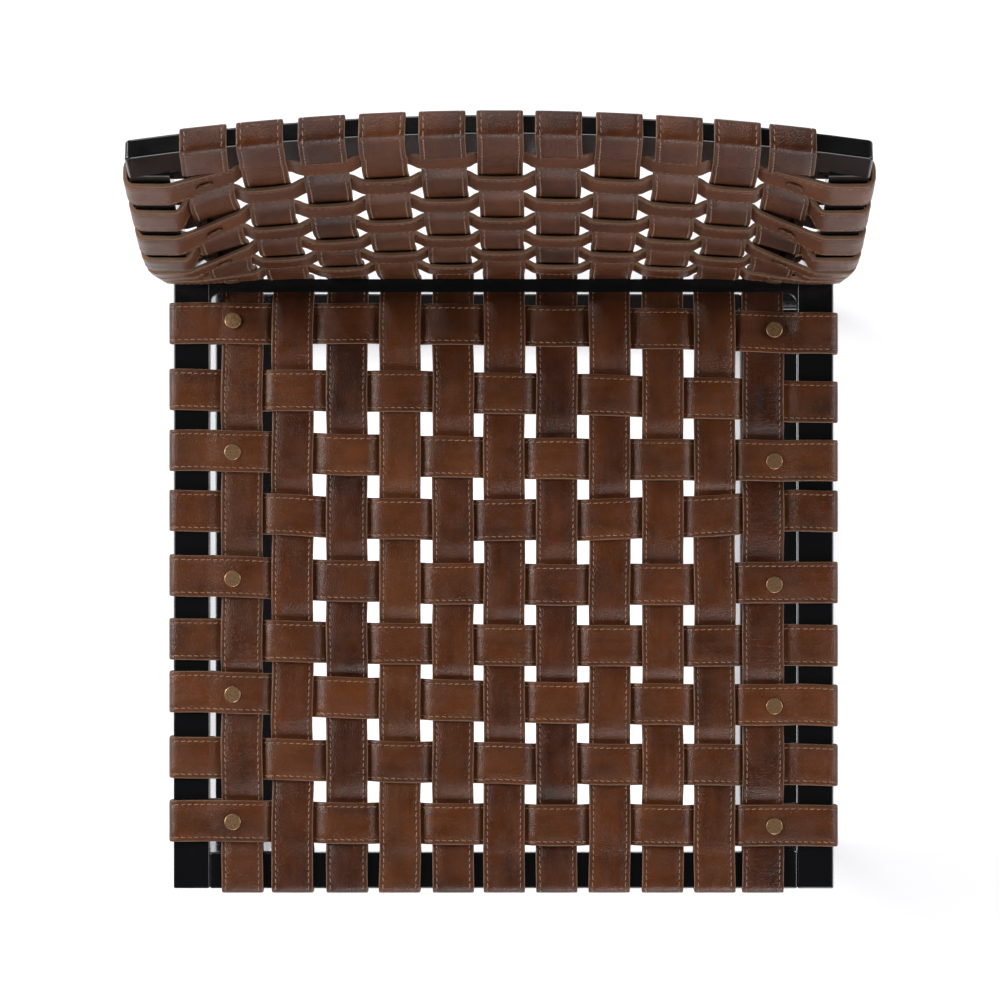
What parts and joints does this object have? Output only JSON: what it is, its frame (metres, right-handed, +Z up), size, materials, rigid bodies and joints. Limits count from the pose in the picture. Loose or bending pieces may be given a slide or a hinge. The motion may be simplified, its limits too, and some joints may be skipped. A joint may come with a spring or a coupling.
{
  "type": "dining chair",
  "caption": "Side chair with a flat-bar sled frame and a seat and reclined back woven from riveted leather straps.",
  "frame": {"origin": "on the floor, under the middle of the chair's bounding box", "axes": "+Z up, +Y towards the back rest, +X to the right seen from the front edge looking at the back"},
  "size_m": [0.5204, 0.5706, 0.8404],
  "materials": {
    "black_frame": "gloss",
    "strap_leather": "semi-gloss",
    "rivet_brass": "worn satin",
    "glide_plastic": "matt"
  },
  "bodies": {
    "root": {"side_rail_left": "black_frame", "side_rail_right": "black_frame", "back_post_left": "black_frame", "back_post_right": "black_frame", "side_base_left": "black_frame", "side_base_right": "black_frame", "front_rail": "black_frame", "rear_crossbar": "black_frame", "top_rail": "black_frame", "floor_stretcher": "black_frame", "long_strap_01": "strap_leather", "long_strap_02": "strap_leather", "long_strap_03": "strap_leather", "long_strap_04": "strap_leather", "long_strap_05": "strap_leather", "long_strap_06": "strap_leather", "long_strap_07": "strap_leather", "long_strap_08": "strap_leather", "long_strap_09": "strap_leather", "long_strap_10": "strap_leather", "long_strap_11": "strap_leather", "seat_cross_strap_1": "strap_leather", "seat_cross_strap_2": "strap_leather", "seat_cross_strap_3": "strap_leather", "seat_cross_strap_4": "strap_leather", "seat_cross_strap_5": "strap_leather", "seat_cross_strap_6": "strap_leather", "seat_cross_strap_7": "strap_leather", "seat_cross_strap_8": "strap_leather", "seat_cross_strap_9": "strap_leather", "back_cross_strap_1": "strap_leather", "back_cross_strap_2": "strap_leather", "back_cross_strap_3": "strap_leather", "back_cross_strap_4": "strap_leather", "back_cross_strap_5": "strap_leather", "back_cross_strap_6": "strap_leather", "back_cross_strap_7": "strap_leather", "seat_side_rivets": "rivet_brass", "back_side_rivets": "rivet_brass", "front_tail_rivets": "rivet_brass", "top_tail_rivets": "rivet_brass", "floor_glides": "glide_plastic"}
  },
  "joints": []
}
